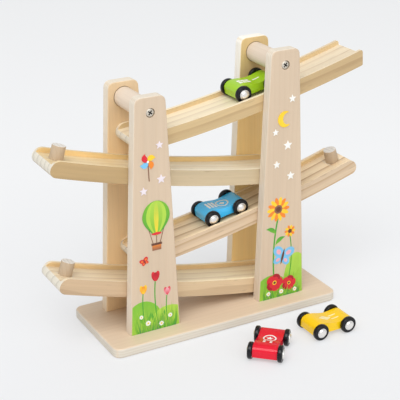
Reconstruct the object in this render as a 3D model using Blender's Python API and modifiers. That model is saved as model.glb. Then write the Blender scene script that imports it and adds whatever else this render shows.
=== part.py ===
"""Wooden ramp racer: two pairs of tapered uprights on a base board carry four sagging
ramps that zig-zag down between them, and four small cars roll on the ramps and the floor.

Metres, +Z up. The origin is the centre of the base board's underside. +X runs along the
board to the high end of the top ramp, and the printed side faces -Y.
"""
import math

import bmesh
import bpy
from mathutils import Matrix, Vector

# Base board
base_length = 0.247
base_depth = 0.1005
base_thickness = 0.0095
base_corner = 0.0085          # plan radius of its four corners
base_roundover = 0.0018

# Uprights, two in front of the ramps and two behind them
upright_thickness = 0.0109
upright_foot = 0.0526         # width at the base board
upright_head = 0.0306         # width the sides taper to at the top
upright_corner = 0.0062
upright_arris = 0.0011
left_x, right_x = -0.0727, 0.0682
left_height, right_height = 0.2322, 0.2555
pair_gap = 0.0446             # clear space between a front and a rear upright
track_y = 0.0018              # centre line of the ramps

# Spacer dowels near the tops, and their screws
spacer_radius = 0.00965
spacer_drop = 0.0148          # from the top of the uprights down to the dowel's axis
screw_head_radius = 0.0038
screw_head_height = 0.0018
screw_shank_radius = 0.0016
cross_width = 0.0010          # of the slots in a screw's head
cross_depth = 0.0010
screw_bite = 0.018            # how far a screw goes into the piece it holds
recess_radius = 0.0044        # counterbore round a screw head
head_sunk = 0.0004
dowel_chamfer = 0.0003

# Ramps: one curved section for all four
ramp_radius = 1.3308          # of the rails' top edge, seen from the side
ramp_depth = 0.0156           # thickness of the strip, square to its length
ramp_reach = 0.2485           # length along the curve
channel_depth = 0.0045
rail_width = 0.0035
ramp_arris = 0.0006
nose_top, nose_bottom = 0.0088, 0.0068
# heights of the rails at the centres of the uprights, over the base board
left_top_drop, right_top_drop = 0.0391, 0.0398   # from an upright's top down to the top ramp
left_bottom_rise, right_bottom_rise = 0.0458, 0.0180
upper_step, lower_step = 0.0323, 0.0311          # left, from the top and third ramp to the next
right_step = 0.0322                              # right, from the second ramp to the third
right_shift = 0.00195                            # of that pair up from halfway between the others
left_top = left_height - left_top_drop
right_top = right_height - right_top_drop
right_middle = (right_top + right_bottom_rise) / 2 + right_shift
# name, side of its high end, rail height at the left and the right upright, how far the
# high end reaches beyond the upright's centre
ramps = [
    ("top_ramp", +1, left_top, right_top, 0.0923),
    ("second_ramp", -1, left_top - upper_step, right_middle + right_step / 2, 0.0899),
    ("third_ramp", +1, left_bottom_rise + lower_step, right_middle - right_step / 2, 0.0916),
    ("bottom_ramp", -1, left_bottom_rise, right_bottom_rise, 0.0875),
]
# the top ramp's high end is cut off square instead of rounded
cut_top, cut_bottom = 0.0030, 0.0015
cut_lean = 0.0036             # its top stands this much further out than its bottom

# Stop pegs at three high ends, square to the ramp floor
peg_radius = 0.0065
peg_height = 0.0136           # above the ramp floor
peg_seat = 0.0062             # depth of its hole
peg_inset = 0.0133            # from the high end to the peg's axis
peg_chamfer = 0.0004

# Cross pins that carry each ramp in the uprights
pin_radius = 0.0030
pin_seat = 0.0066             # depth of a pin hole in an upright
foot_bite = 0.020             # how far a foot screw goes up into an upright
foot_aside = 0.013            # foot screw beside the upright's centre, clear of the lowest pin

# Cars
wheel_radius = 0.0082
wheel_width = 0.0042
wheel_base = 0.0314
car_width = 0.0234
tread_width = 0.0021          # flat part of a wheel's rim, between its bevels
wheel_bevel = 0.0011          # how much smaller a wheel's faces are than its rim
axle_radius = 0.0015
cap_radius = 0.0048
cap_height = 0.0019
car_bottom = 0.0042
tail_x, nose_x = -0.0215, 0.0250
tail_top, waist_top, nose_hump = 0.0154, 0.0121, 0.0134
tail_peak, waist_low, nose_peak = -0.0140, 0.0055, 0.0185
tail_shoulder, nose_shoulder = 0.0098, 0.0088  # height where each end starts to round over
car_arris = 0.0008
green_x, blue_x = 0.0493, 0.0160             # middle of each ramp car along X
yellow_at, yellow_turn = (0.0785, -0.0969), 0.3
red_at, red_turn = (0.0083, -0.1056), 46.7   # degrees from +X

# Clearances
fit = 0.0001                  # between two faces that touch
hole_gap = 0.0001             # round pins, pegs and screws in their holes
turn_gap = 0.0002             # round an axle in the car body
wheel_gap = 0.0004            # between a wheel and the car body
roll_gap = 0.0001             # under a tyre on a ramp
overshoot = 0.02              # how far a cutter runs past the face it opens
smooth_limit = math.radians(35)  # edges sharper than this stay crisp in the shading

base_top = base_thickness
gap_front = track_y - pair_gap / 2
gap_rear = track_y + pair_gap / 2
floor_radius = ramp_radius + channel_depth

for old in list(bpy.data.objects):
    bpy.data.objects.remove(old)

toy = bpy.data.collections.new("ramp_racer")
cutters = bpy.data.collections.new("cutters")
bpy.context.scene.collection.children.link(toy)
bpy.context.scene.collection.children.link(cutters)


def material(name, colour, roughness, metallic=0.0):
    m = bpy.data.materials.new(name)
    m.use_nodes = True
    shader = m.node_tree.nodes["Principled BSDF"]
    shader.inputs["Base Color"].default_value = (*colour, 1.0)
    shader.inputs["Roughness"].default_value = roughness
    shader.inputs["Metallic"].default_value = metallic
    m.diffuse_color = (*colour, 1.0)
    return m


beech = material("pale beech", (0.71, 0.55, 0.40), 0.55)
pine = material("yellow pine", (0.74, 0.53, 0.30), 0.55)
dowel_wood = material("dowel wood", (0.78, 0.66, 0.50), 0.50)
peg_wood = material("peg end grain", (0.55, 0.42, 0.30), 0.60)
zinc = material("zinc plate", (0.62, 0.60, 0.55), 0.35, 1.0)
chrome = material("bright cap", (0.80, 0.80, 0.80), 0.18, 1.0)
tyre = material("black tyre", (0.012, 0.012, 0.014), 0.30)
paints = {
    "green": material("lime paint", (0.37, 0.66, 0.06), 0.25),
    "blue": material("sky blue paint", (0.07, 0.38, 0.68), 0.25),
    "yellow": material("yellow paint", (0.93, 0.60, 0.03), 0.25),
    "red": material("red paint", (0.82, 0.02, 0.03), 0.25),
}


def add_object(name, mesh, look, at=None, cutter=False):
    obj = bpy.data.objects.new(name, mesh)
    (cutters if cutter else toy).objects.link(obj)
    if look:
        mesh.materials.append(look)
    if at is not None:
        obj.matrix_world = at
    if cutter:
        obj.hide_render = True
        obj.display_type = "WIRE"
    return obj


def prism(name, outline, low, high, look, at=None, cutter=False, soft=None):
    """A solid from an outline of (x, z) points, extruded along Y. soft picks the edges to round."""
    bm = bmesh.new()
    face = bm.faces.new([bm.verts.new((x, low, z)) for x, z in outline])
    out = bmesh.ops.extrude_face_region(bm, geom=[face])
    moved = [v for v in out["geom"] if isinstance(v, bmesh.types.BMVert)]
    bmesh.ops.translate(bm, verts=moved, vec=(0, high - low, 0))
    bmesh.ops.recalc_face_normals(bm, faces=bm.faces)
    if soft:
        weight = bm.edges.layers.float.new("bevel_weight_edge")
        for edge in bm.edges:
            edge[weight] = 1.0 if soft(edge) else 0.0
    mesh = bpy.data.meshes.new(name)
    bm.to_mesh(mesh)
    bm.free()
    mesh.shade_smooth()
    mesh.set_sharp_from_angle(angle=smooth_limit)
    return add_object(name, mesh, look, at, cutter)


def lathe(name, profile, look, at, steps=24, closed=False, cutter=False):
    """A profile of (radius, height) points that runs down its outer side, turned about Z."""
    mesh = bpy.data.meshes.new(name)
    count = len(profile)
    edges = [(i, i + 1) for i in range(count - 1)] + ([(count - 1, 0)] if closed else [])
    mesh.from_pydata([(r, 0.0, z) for r, z in profile], edges, [])
    obj = add_object(name, mesh, look, at, cutter)
    turn = obj.modifiers.new("turn", "SCREW")
    turn.axis = "Z"
    turn.angle = 2 * math.pi
    turn.steps = turn.render_steps = steps
    turn.use_merge_vertices = True
    turn.merge_threshold = 0.00001
    turn.use_smooth_shade = True
    return obj


def rod(name, radius, low, high, look, at, steps=20, chamfer=0.0, cutter=False):
    """A cylinder along its own Z from low to high, with a chamfer at both ends."""
    profile = [(0.0, high), (radius - chamfer, high), (radius, high - chamfer),
               (radius, low + chamfer), (radius - chamfer, low), (0.0, low)]
    if not chamfer:
        profile = [(0.0, high), (radius, high), (radius, low), (0.0, low)]
    return lathe(name, profile, look, at, steps, cutter=cutter)


def cut(target, cutter, union=False):
    mod = target.modifiers.new(cutter.name, "BOOLEAN")
    mod.operation = "UNION" if union else "DIFFERENCE"
    mod.solver = "EXACT"
    mod.object = cutter


def soften(target, width, segments=2, angle=None):
    mod = target.modifiers.new("arris", "BEVEL")
    mod.width = width
    mod.segments = segments
    if angle is None:
        mod.limit_method = "WEIGHT"
    else:
        mod.limit_method = "ANGLE"
        mod.angle_limit = math.radians(angle)
    return mod


def corner(cx, cz, radius, start, stop, steps):
    """Points on an arc, in degrees from +X towards +Z."""
    turn = [math.radians(start + (stop - start) * i / steps) for i in range(steps + 1)]
    return [(cx + radius * math.cos(a), cz + radius * math.sin(a)) for a in turn]


def pointing(x, y, z, direction):
    """A frame at a point whose own Z runs along a direction."""
    turn = Vector(direction).to_track_quat("Z", "Y").to_matrix().to_4x4()
    return Matrix.Translation((x, y, z)) @ turn


# Base board: a rounded plan, then one roundover on every edge
half_x, half_y, r = base_length / 2, base_depth / 2, base_corner
plan = (corner(half_x - r, half_y - r, r, 0, 90, 5) + corner(r - half_x, half_y - r, r, 90, 180, 5)
        + corner(r - half_x, r - half_y, r, 180, 270, 5) + corner(half_x - r, r - half_y, r, 270, 360, 5))
lay_flat = Matrix.Rotation(math.radians(90), 4, "X")
base = prism("base_board", plan, 0.0, base_thickness, beech, lay_flat,
             soft=lambda e: abs(e.verts[0].co.y - e.verts[1].co.y) < 1e-6)
soften(base, base_roundover)


# Uprights: tapered boards with round top corners
def upright_outline(x, height):
    foot, head, r = upright_foot / 2, upright_head / 2, upright_corner
    lean = math.atan2(foot - head, height)          # each side leans in by this much
    top = base_top + height
    cz = top - r
    # the rounding's centre sits r inside the leaning side
    side = foot - (cz - base_top) * math.tan(lean)
    cx = side - r / math.cos(lean)
    right = corner(x + cx, cz, r, math.degrees(lean), 90, 5)
    left = [(2 * x - px, pz) for px, pz in reversed(right)]
    return [(x + foot, base_top + fit)] + right + left + [(x - foot, base_top + fit)]


def is_soft(edge):
    a, b = (v.co for v in edge.verts)
    on_foot = max(a.z, b.z) < base_top + fit + 1e-5
    return abs(a.y - b.y) < 1e-6 and not on_foot


pairs = {"left": (left_x, left_height), "right": (right_x, right_height)}
walls = {"front": (gap_front - upright_thickness, gap_front, -1),
         "rear": (gap_rear, gap_rear + upright_thickness, +1)}
uprights = {}
for side, (x, height) in pairs.items():
    for row, (y0, y1, out) in walls.items():
        board = prism(f"{side}_{row}_upright", upright_outline(x, height), y0, y1, beech, soft=is_soft)
        soften(board, upright_arris)
        uprights[side, row] = board


def wood_screw(name, at, length, cross=True):
    """A screw along its own Z, its head's face at 0 and its tip down, with a cross recess."""
    r, h, s = screw_head_radius, screw_head_height, screw_shank_radius
    profile = [(0.0, 0.0), (r * 0.8, 0.0), (r, -h / 4), (r, -h / 2), (s, -h), (s, -length + 2 * s),
               (0.0, -length)]
    screw = lathe(name, profile, zinc, at, 12)
    across = r * 0.55
    slot_side = [(-across, -cross_depth), (across, -cross_depth), (across, overshoot), (-across, overshoot)]
    for i in range(2 if cross else 0):
        turn = Matrix.Rotation(math.radians(45 + 90 * i), 4, "Z")
        near, far = -cross_width / 2, cross_width / 2
        cut(screw, prism(f"{name}_slot_{i}", slot_side, near, far, None, at @ turn, cutter=True))
    return screw


def screw_hole(name, at, length):
    """Cutter for a screw: the counterbore round its head, then the hole for its shank."""
    c, s = recess_radius, screw_shank_radius + hole_gap
    h = screw_head_height + fit
    end = length + hole_gap
    profile = [(0.0, overshoot), (c, overshoot), (c, -h), (s, -h), (s, -end), (0.0, -end)]
    return lathe(f"{name}_hole", profile, None, at, 12, cutter=True)


# Spacer dowels and the screws into their ends
for side, (x, height) in pairs.items():
    z = base_top + height - spacer_drop
    half = pair_gap / 2 - fit
    spacer = rod(f"{side}_spacer_dowel", spacer_radius, -half, half, dowel_wood,
                 pointing(x, track_y, z, (0, 1, 0)), 24, dowel_chamfer)
    for row, (y0, y1, out) in walls.items():
        face = y0 + head_sunk if out < 0 else y1 - head_sunk
        at = pointing(x, face, z, (0, out, 0))
        length = upright_thickness - head_sunk + fit + screw_bite
        wood_screw(f"{side}_{row}_screw", at, length)
        hole = screw_hole(f"{side}_{row}_screw", at, length)
        cut(uprights[side, row], hole)
        cut(spacer, hole)

# Screws from below hold the feet of the uprights
for side, (x, height) in pairs.items():
    for row, (y0, y1, out) in walls.items():
        at = pointing(x + foot_aside, (y0 + y1) / 2, head_sunk, (0, 0, -1))
        length = base_thickness - head_sunk + foot_bite
        wood_screw(f"{side}_{row}_foot_screw", at, length, cross=False)
        hole = screw_hole(f"{side}_{row}_foot_screw", at, length)
        cut(base, hole)
        cut(uprights[side, row], hole)


# Ramps: each is the same strip, bent to one radius and set by its height at the two uprights
class Arc:
    """The curve of a ramp's rail tops. depth is measured square to it, down into the strip."""

    def __init__(self, left_z, right_z):
        dx, dz = right_x - left_x, right_z - left_z
        chord = math.hypot(dx, dz)
        rise = math.sqrt(ramp_radius ** 2 - chord ** 2 / 4)
        self.x = (left_x + right_x) / 2 - dz / chord * rise
        self.z = (left_z + right_z) / 2 + dx / chord * rise

    def point(self, angle, depth=0.0):
        reach = ramp_radius + depth
        return self.x + reach * math.sin(angle), self.z - reach * math.cos(angle)

    def angle_at(self, x, depth=0.0):
        return math.asin((x - self.x) / (ramp_radius + depth))

    def frame(self, angle, depth, y):
        """Own X runs along the ramp towards +X and own Z stands square to it."""
        x, z = self.point(angle, depth)
        return Matrix.Translation((x, y, z)) @ Matrix.Rotation(-angle, 4, "Y")


def strip(arc, start, stop, top, bottom, steps=16):
    """Outline between two depths from one angle to another, before its ends are shaped."""
    angles = [start + (stop - start) * i / steps for i in range(steps + 1)]
    return ([arc.point(a, bottom) for a in angles] + [arc.point(a, top) for a in reversed(angles)])


def nose(arc, end, way, top, bottom, lean=0.0):
    """Points of a rounded end from the top edge down to the bottom edge. way is +1 towards +X."""
    points = []
    for i in range(6):
        a = math.radians(90 - 90 * i / 5)
        points.append((top * (1 - math.cos(a)) - lean, top * (1 - math.sin(a))))
    for i in range(4):
        a = math.radians(-90 * i / 3)
        points.append((bottom * (1 - math.cos(a)), ramp_depth - bottom * (1 + math.sin(a))))
    return [arc.point(end - way * back / ramp_radius, depth) for back, depth in points]


ramp_half = pair_gap / 2 - fit
pin_depth = (channel_depth + ramp_depth) / 2
arcs = {}
for name, high_side, left_h, right_h, overhang in ramps:
    arc = Arc(base_top + left_h, base_top + right_h)
    arcs[name] = arc
    post_x = right_x if high_side > 0 else left_x
    high = arc.angle_at(post_x + high_side * overhang)
    low = high - high_side * ramp_reach / ramp_radius
    high_end = (cut_top, cut_bottom, cut_lean) if name == "top_ramp" else (nose_top, nose_bottom)
    high_nose = nose(arc, high, high_side, *high_end)
    low_nose = nose(arc, low, -high_side, nose_top, nose_bottom)
    # the straight runs of the top and bottom edges lie between the two noses
    top_run = [low + (high - low) * i / 12 for i in range(13)]
    margin = 1.2 * max(nose_top, nose_bottom) / ramp_radius
    runs = [a for a in top_run if min(abs(a - low), abs(a - high)) > margin]
    outline = (low_nose[::-1] + [arc.point(a) for a in runs] + high_nose
               + [arc.point(a, ramp_depth) for a in reversed(runs)])
    ramp = prism(name, outline, track_y - ramp_half, track_y + ramp_half, pine)
    # the channel's cutter runs out past both ends and above the rails
    beyond = overshoot / ramp_radius
    first, last = min(low, high) - beyond, max(low, high) + beyond
    inside = ramp_half - rail_width
    channel = prism(f"{name}_channel", strip(arc, first, last, -overshoot, channel_depth),
                    track_y - inside, track_y + inside, None, cutter=True)
    cut(ramp, channel)
    soften(ramp, ramp_arris, 1, 50)

    # Cross pins through the solid part, into blind holes in both uprights
    for side, (x, height) in pairs.items():
        px, pz = arc.point(arc.angle_at(x, pin_depth), pin_depth)
        half = pair_gap / 2 + pin_seat
        at = pointing(px, track_y, pz, (0, 1, 0))
        end = half - hole_gap
        rod(f"{name}_{side}_pin", pin_radius, -end, end, dowel_wood, at, 12, dowel_chamfer)
        hole = rod(f"{name}_{side}_pin_hole", pin_radius + hole_gap, -half, half, None, at, 12, cutter=True)
        cut(ramp, hole)
        cut(uprights[side, "front"], hole)
        cut(uprights[side, "rear"], hole)

    # A stop peg closes the high end of every ramp but the top one
    if name != "top_ramp":
        at = arc.frame(high - high_side * peg_inset / ramp_radius, channel_depth, track_y)
        peg_name = name.replace("ramp", "peg")
        rod(peg_name, peg_radius, -peg_seat + fit, peg_height, peg_wood, at, 20, peg_chamfer)
        hole = rod(f"{name}_peg_hole", peg_radius + hole_gap, -peg_seat, overshoot, None, at, 20, cutter=True)
        cut(ramp, hole)


# Cars
def wave(x0, z0, x1, z1, steps):
    """Points on a smooth swell from one level to another."""
    return [(x0 + (x1 - x0) * i / steps, z0 + (z1 - z0) * (1 - math.cos(math.pi * i / steps)) / 2)
            for i in range(1, steps + 1)]


def round_off(x0, z0, x1, z1, steps, from_side):
    """A quarter ellipse between a vertical end and a level top."""
    points = []
    for i in range(1, steps + 1):
        a = math.pi / 2 * i / steps
        if from_side:
            points.append((x1 + (x0 - x1) * math.cos(a), z0 + (z1 - z0) * math.sin(a)))
        else:
            points.append((x0 + (x1 - x0) * math.sin(a), z1 + (z0 - z1) * math.cos(a)))
    return points


def car_outline():
    """Side view of a car body about its axle line: a tall tail, a low waist and a nose."""
    w = wheel_radius
    points = [(tail_x, car_bottom - w), (tail_x, tail_shoulder - w)]
    points += round_off(tail_x, tail_shoulder - w, tail_peak, tail_top - w, 5, True)
    points += wave(tail_peak, tail_top - w, waist_low, waist_top - w, 6)
    points += wave(waist_low, waist_top - w, nose_peak, nose_hump - w, 5)
    points += round_off(nose_peak, nose_hump - w, nose_x, nose_shoulder - w, 5, False)
    points += [(nose_x, car_bottom - w)]
    return points


def car(colour, pivot, frame):
    """One car. frame sits at the middle of its axle line; pivot is the empty it moves with."""
    handle = bpy.data.objects.new(f"{colour}_car_pivot", None)
    toy.objects.link(handle)
    handle.matrix_world = pivot

    def hold(obj):
        obj.parent = handle
        obj.matrix_parent_inverse = pivot.inverted()

    half = car_width / 2
    body = prism(f"{colour}_car_body", car_outline(), -half, half, paints[colour], frame)
    soften(body, car_arris, 1, 40)
    hold(body)
    lie = Matrix.Rotation(math.radians(-90), 4, "X")        # own Z along the axle
    for end, x in (("tail", -wheel_base / 2), ("nose", wheel_base / 2)):
        at = frame @ Matrix.Translation((x, 0, 0)) @ lie
        inner = half + wheel_gap
        outer = inner + wheel_width + fit
        a, c, h = axle_radius, cap_radius, cap_height
        dome = [(c * math.sin(t), outer + h * math.cos(t)) for t in (0, 0.6, 1.15)]
        top = dome + [(c, outer), (a, outer)]
        profile = top + [(r, -z) for r, z in reversed(top)]
        hold(lathe(f"{colour}_car_{end}_axle", profile, chrome, at, 12))
        reach = half + overshoot
        bore = rod(f"{colour}_{end}_axle_bore", a + turn_gap, -reach, reach, None, at, 12, cutter=True)
        cut(body, bore)
        w, t, r, face = wheel_width / 2, tread_width / 2, wheel_radius, wheel_radius - wheel_bevel
        hub = a + hole_gap
        ring = [(hub, w), (face, w), (r, t), (r, -t), (face, -w), (hub, -w)]
        for side, sign in (("right", -1), ("left", 1)):
            middle = at @ Matrix.Translation((0, 0, sign * (inner + w)))
            hold(lathe(f"{colour}_car_{end}_{side}_wheel", ring, tyre, middle, 18, closed=True))


def on_ramp(name, x):
    """Frame of a car whose tyres stand on a ramp's floor, and the centre it swings about."""
    arc = arcs[name]
    reach = floor_radius - wheel_radius - roll_gap
    drop = math.sqrt(reach ** 2 - wheel_base ** 2 / 4) - ramp_radius
    angle = arc.angle_at(x, drop)
    return Matrix.Translation((arc.x, track_y, arc.z)), arc.frame(angle, drop, track_y)


def on_floor(at, degrees):
    turn = Matrix.Rotation(math.radians(degrees), 4, "Z")
    ground = Matrix.Translation((at[0], at[1], 0)) @ turn
    return ground, Matrix.Translation((0, 0, wheel_radius)) @ ground


car("green", *on_ramp("top_ramp", green_x))
car("blue", *on_ramp("third_ramp", blue_x))
car("yellow", *on_floor(yellow_at, yellow_turn))
car("red", *on_floor(red_at, red_turn))

pieces = [obj for obj in toy.objects if obj.type == "MESH"]
for obj in pieces:
    obj.modifiers.new("shading", "WEIGHTED_NORMAL").keep_sharp = True
print(len(pieces), "pieces")
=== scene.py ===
# %% [markdown]
# # The looks of a wooden ramp racer
# Two pairs of tapered boards stand on a base board and carry four sagging ramps, and four little
# cars roll down them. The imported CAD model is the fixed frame: every piece made here takes its
# place from a CAD node, replaces it and rides on its body, so nothing has to be fitted by eye.

# %% Load the frame
import math
import random

import bmesh
import bpy
from mathutils import Matrix, Vector


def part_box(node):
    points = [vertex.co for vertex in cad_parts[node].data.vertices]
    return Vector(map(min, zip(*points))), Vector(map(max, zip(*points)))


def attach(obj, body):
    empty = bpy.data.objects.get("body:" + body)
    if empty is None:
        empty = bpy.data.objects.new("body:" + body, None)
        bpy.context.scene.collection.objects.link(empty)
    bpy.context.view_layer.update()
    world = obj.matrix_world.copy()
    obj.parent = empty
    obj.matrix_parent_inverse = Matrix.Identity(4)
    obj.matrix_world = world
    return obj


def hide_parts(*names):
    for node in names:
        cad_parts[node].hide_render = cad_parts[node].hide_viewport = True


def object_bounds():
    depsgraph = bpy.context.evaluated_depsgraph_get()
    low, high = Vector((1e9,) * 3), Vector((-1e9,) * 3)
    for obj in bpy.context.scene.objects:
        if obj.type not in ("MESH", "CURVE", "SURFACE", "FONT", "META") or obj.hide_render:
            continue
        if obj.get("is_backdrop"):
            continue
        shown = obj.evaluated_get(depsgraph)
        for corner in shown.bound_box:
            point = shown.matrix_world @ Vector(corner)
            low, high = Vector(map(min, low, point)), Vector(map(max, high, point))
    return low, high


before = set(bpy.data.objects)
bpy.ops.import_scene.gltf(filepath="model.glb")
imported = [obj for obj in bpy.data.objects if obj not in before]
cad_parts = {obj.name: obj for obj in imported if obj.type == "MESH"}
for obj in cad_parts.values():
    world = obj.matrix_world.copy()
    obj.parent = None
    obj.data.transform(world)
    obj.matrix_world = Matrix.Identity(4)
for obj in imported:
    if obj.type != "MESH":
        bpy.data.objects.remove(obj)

cad_low, cad_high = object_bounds()
scene = bpy.context.scene

# %% [markdown]
# ## Camera
# A product photograph is taken from some way off with a long lens, so that upright edges stay
# nearly parallel. The camera is set by its place, its heading from +Y, its tilt below the horizon
# and a slight roll, because these three turns are what a photographer would read off a tripod.

# %% Camera
camera_place = Vector((-0.49765, -0.90563, 0.54894))
camera_heading, camera_tilt, camera_roll = 28.468, 22.673, -0.473   # degrees
lens_length, sensor_width = 104.01, 36.0                            # millimetres


def turned(degrees, axis):
    return Matrix.Rotation(math.radians(degrees), 4, axis)


camera = bpy.data.objects.new("camera", bpy.data.cameras.new("camera"))
scene.collection.objects.link(camera)
camera.data.lens, camera.data.sensor_width = lens_length, sensor_width
camera.matrix_world = (Matrix.Translation(camera_place) @ turned(-camera_heading, "Z")
                       @ turned(90 - camera_tilt, "X") @ turned(camera_roll, "Z"))
scene.camera = camera
print("camera", round(camera_place.length, 3), "m from the origin")

# %% [markdown]
# ## Material helpers
# A finish is a small tree of nodes. One helper adds a node, sets its options and either links or
# fills each socket, so that a material reads from top to bottom like a recipe.


# %% Material helpers
def new_look(name):
    """A material with nodes, and its shader."""
    look = bpy.data.materials.new(name)
    look.use_nodes = True
    return look, look.node_tree.nodes["Principled BSDF"]


def fill(look, target, sockets):
    """Sets each named socket to a value, or links it to another node's output."""
    for name, value in sockets.items():
        if isinstance(value, bpy.types.NodeSocket):
            look.node_tree.links.new(value, target.inputs[name])
        else:
            target.inputs[name].default_value = value


def put(look, kind, sockets=None, **options):
    """Adds a node of that kind, with its options and its sockets by name or number."""
    made = look.node_tree.nodes.new("ShaderNode" + kind)
    for name, value in options.items():
        setattr(made, name, value)
    fill(look, made, sockets or {})
    return made


def ramp_of(look, factor, stops):
    """Colours blended along a factor. stops are (place, colour)."""
    made = put(look, "ValToRGB", {"Fac": factor})
    band = made.color_ramp
    while len(band.elements) < len(stops):
        band.elements.new(0.5)
    for element, (place, colour) in zip(band.elements, stops):
        element.position = place
        element.color = (*colour, 1.0)
    return made.outputs["Color"]


def mixed(look, factor, one, other, blend="MIX"):
    """Two colours mixed by a factor."""
    one, other = [(*c, 1.0) if isinstance(c, tuple) else c for c in (one, other)]
    sockets = {0: factor, 6: one, 7: other}
    return put(look, "Mix", sockets, data_type="RGBA", blend_type=blend).outputs[2]


print("helpers for nodes and colours ready")


# %% Patterns and relief
def stretched_noise(look, place, stretch, detail=2.0, socket="Fac"):
    """Noise whose grains are shorter where stretch is larger, a value for each metre."""
    scaled = put(look, "Mapping", {"Vector": place, "Scale": stretch}).outputs["Vector"]
    return put(look, "TexNoise", {"Vector": scaled, "Scale": 1.0, "Detail": detail}).outputs[socket]


def stored(look, name, socket="Fac"):
    """A value that the mesh carries at its points."""
    return put(look, "Attribute", attribute_name=name).outputs[socket]


def reckoned(look, operation, one, other, **options):
    return put(look, "Math", {0: one, 1: other}, operation=operation, **options).outputs[0]


def bumped(look, height, strength, distance):
    """The surface's direction, as a relief of that height in metres bends it."""
    relief = {"Height": height, "Strength": strength, "Distance": distance}
    return put(look, "Bump", relief).outputs["Normal"]


def spread(look, value, low, high, start=0.3, stop=0.7):
    """A value between start and stop, spread out to lie between low and high."""
    made = put(look, "MapRange", {"Value": value, "From Min": start, "From Max": stop,
                                  "To Min": low, "To Max": high})
    return made.outputs["Result"]


print("helpers for patterns and relief ready")

# %% [markdown]
# ## Floor and light
# The toy stands on a pale floor under a soft light that comes from above and from the left. A big
# softbox, a weaker one in front that reaches under the ramps, and an even sky together give white
# about its own value, so every colour renders as it is written. To the camera, and in gloss and
# glass, half of the floor's light is a glow of its own, a little darker near the camera, as in a
# light tent. That keeps the shadows faint and adds no light to the toy.

# %% Floor and light
floor_size, floor_gap = 24.0, 0.0002
floor_colour, floor_glow = (0.81, 0.82, 0.835, 1.0), 0.50
floor_tones = [(0.0, (0.77, 0.77, 0.785)), (0.2, (0.91, 0.915, 0.925)), (0.45, (1.0, 1.0, 1.0))]
tone_start, tone_stop = -0.35, 1.25        # metres along the way that the camera looks
sky_colour, sky_strength = (0.97, 0.985, 1.0, 1.0), 0.67
softboxes = {       # place, size in metres and power in watts
    "key": (Vector((-1.4, -1.3, 2.8)), 2.2, 54.0),
    "fill": (Vector((0.1, -2.5, 1.4)), 2.4, 22.0),
}
aim = Vector((0.0, 0.0, 0.1))

floor_look, floor_shader = new_look("pale_floor")
fill(floor_look, floor_shader, {"Base Color": floor_colour, "Roughness": 0.7,
                                "Specular IOR Level": 0.2})
rays = put(floor_look, "LightPath").outputs
seen = rays["Is Camera Ray"]
for kind in ("Is Glossy Ray", "Is Transmission Ray"):
    seen = reckoned(floor_look, "MAXIMUM", seen, rays[kind])
glow_share = reckoned(floor_look, "MULTIPLY", seen, floor_glow)
spot = put(floor_look, "TexCoord").outputs["Object"]
away = Vector((math.sin(math.radians(camera_heading)), math.cos(math.radians(camera_heading)), 0))
ahead = put(floor_look, "VectorMath", {0: spot, 1: away}, operation="DOT_PRODUCT").outputs["Value"]
tone = spread(floor_look, ahead, 0.0, 1.0, tone_start, tone_stop)
glow = put(floor_look, "Emission", {"Color": ramp_of(floor_look, tone, floor_tones)}).outputs[0]
tent = put(floor_look, "MixShader", {0: glow_share, 1: floor_shader.outputs[0], 2: glow}).outputs[0]
fill(floor_look, floor_look.node_tree.nodes["Material Output"], {"Surface": tent})

floor_bm = bmesh.new()
bmesh.ops.create_grid(floor_bm, x_segments=1, y_segments=1, size=floor_size / 2)
floor_mesh = bpy.data.meshes.new("floor")
floor_bm.to_mesh(floor_mesh)
floor_bm.free()
floor_mesh.materials.append(floor_look)
floor = bpy.data.objects.new("floor", floor_mesh)
scene.collection.objects.link(floor)
floor.location.z = cad_low.z - floor_gap
floor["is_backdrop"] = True

world = bpy.data.worlds.new("sky")
scene.world = world
world.use_nodes = True
sky = world.node_tree.nodes["Background"]
sky.inputs["Color"].default_value = sky_colour
sky.inputs["Strength"].default_value = sky_strength

for name, (place, size, watts) in softboxes.items():
    softbox = bpy.data.objects.new(f"{name}_softbox", bpy.data.lights.new(name, "AREA"))
    scene.collection.objects.link(softbox)
    softbox.data.size = size
    softbox.data.energy = watts
    softbox.matrix_world = (Matrix.Translation(place)
                            @ (aim - place).to_track_quat("-Z", "Y").to_matrix().to_4x4())
scene.view_settings.view_transform = "Standard"
print("floor at", round(floor.location.z, 4))

# %% [markdown]
# ## Wood
# The ramps are sawn pine. Its growth rings are shells round a pith far to one side of the blank, so
# they cross the floor as long lines, end in dark streaks on the rounded ends and leave the sides
# nearly plain. The boards are plywood: a smooth beech veneer on the faces and pale plies along
# every cut edge. Each blank carries its own grain coordinates as an attribute, with X along the
# fibres, so that one recipe follows a bent ramp as well as an upright board. Three more attributes
# say where the end grain is, where a ramp's floor or a cut edge is paler, which is partly the wood's
# own colour and partly painted light where it faces bright light, and where the wall of a hole or a
# seat is painted dark, as shade in those recesses. The walls of a channel have woods of their own,
# warmer and more golden than its floor: painted bounce light and shade inside the channel.


# %% Shades and bands
def shaded(look, colour, value, low, high):
    """A colour multiplied by a shade between low and high."""
    shade = spread(look, value, low, high)
    grey = put(look, "CombineColor", {0: shade, 1: shade, 2: shade}).outputs[0]
    return mixed(look, 1.0, colour, grey, "MULTIPLY")


def darker(colour, share):
    return tuple(c * share for c in colour)


def bands(look, place, gap, kind, profile, direction):
    """A wave that repeats after each gap."""
    return put(look, "TexWave", {"Vector": place, "Scale": math.pi / 10 / gap, "Distortion": 0.0},
               wave_type=kind, wave_profile=profile, **direction).outputs["Fac"]


print("shades and bands ready")

# %% Rates, rings and reliefs
# how often a pattern changes in a metre along, across and away from the fibres
drift_rate, slow_rate, streak_rate = (5.0, 24.0, 24.0), (6.0, 35.0, 35.0), (9.0, 330.0, 330.0)
fibre_rate, fleck_rate = (35.0, 1500.0, 1500.0), (60.0, 480.0, 480.0)
pore_rate = (900.0, 1700.0, 1700.0)
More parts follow.
